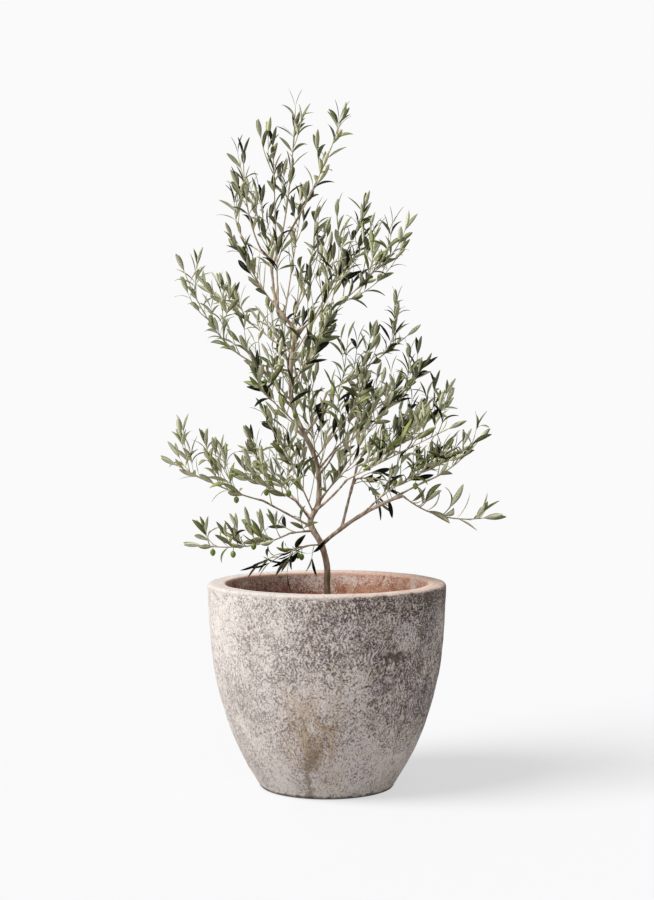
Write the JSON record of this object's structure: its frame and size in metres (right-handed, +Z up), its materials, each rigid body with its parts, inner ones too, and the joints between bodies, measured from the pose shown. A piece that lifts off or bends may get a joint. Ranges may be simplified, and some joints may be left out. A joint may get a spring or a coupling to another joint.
{
  "type": "potted olive tree",
  "caption": "Young olive tree with one winding trunk and an open, airy crown of narrow grey-green leaves, in a tall round whitewashed terracotta pot filled with soil.",
  "frame": {"origin": "centre of the pot's flat underside", "axes": "+Z up along the pot's axis, +X to the right of a person in front of the pot, +Y away from them"},
  "size_m": [0.6307, 0.43, 1.2696],
  "materials": {
    "terracotta": "matte",
    "soil": "matte",
    "bark": "matte",
    "foliage": "satin"
  },
  "bodies": {
    "root": {"pot": "terracotta", "soil": "soil", "trunk": "bark", "bough_low_right": "bark", "bough_right_tip": "bark", "bough_right_low": "bark", "bough_right_rise": "bark", "bough_right_twig": "bark", "bough_right_mid": "bark", "bough_right_inner": "bark", "bough_right_high": "bark", "bough_upper_right": "bark", "bough_upper_inner": "bark", "bough_crown_mid": "bark", "bough_crown_left": "bark", "bough_crown_right": "bark", "bough_crown_far_left": "bark", "bough_upper_left": "bark", "bough_inner_left": "bark", "bough_mid_left": "bark", "bough_low_left": "bark", "bough_back_left": "bark", "bough_back_right": "bark", "foliage_drooping_right": "foliage", "foliage_right_tip": "foliage", "foliage_right_low": "foliage", "foliage_right_rise": "foliage", "foliage_hanging_right": "foliage", "foliage_right_mid": "foliage", "foliage_right_inner": "foliage", "foliage_right_high": "foliage", "foliage_mid_front": "foliage", "foliage_low_middle": "foliage", "foliage_mid_back": "foliage", "foliage_low_centre": "foliage", "foliage_centre_back": "foliage", "foliage_centre_right": "foliage", "foliage_upper_right": "foliage", "foliage_upper_inner": "foliage", "foliage_upper_centre": "foliage", "foliage_upper_front": "foliage", "foliage_upper_back": "foliage", "foliage_centre_top": "foliage", "foliage_crown_left": "foliage", "foliage_leader": "foliage", "foliage_crown_right": "foliage", "foliage_crown_far_left": "foliage", "foliage_high_left": "foliage", "foliage_upper_left": "foliage", "foliage_left_high": "foliage", "foliage_left_mid": "foliage", "foliage_inner_left": "foliage", "foliage_mid_left": "foliage", "foliage_low_left": "foliage", "foliage_low_front": "foliage", "foliage_back_left": "foliage", "foliage_front_mid": "foliage", "foliage_back_mid": "foliage", "foliage_back_right": "foliage", "foliage_crown_back": "foliage"}
  },
  "joints": []
}
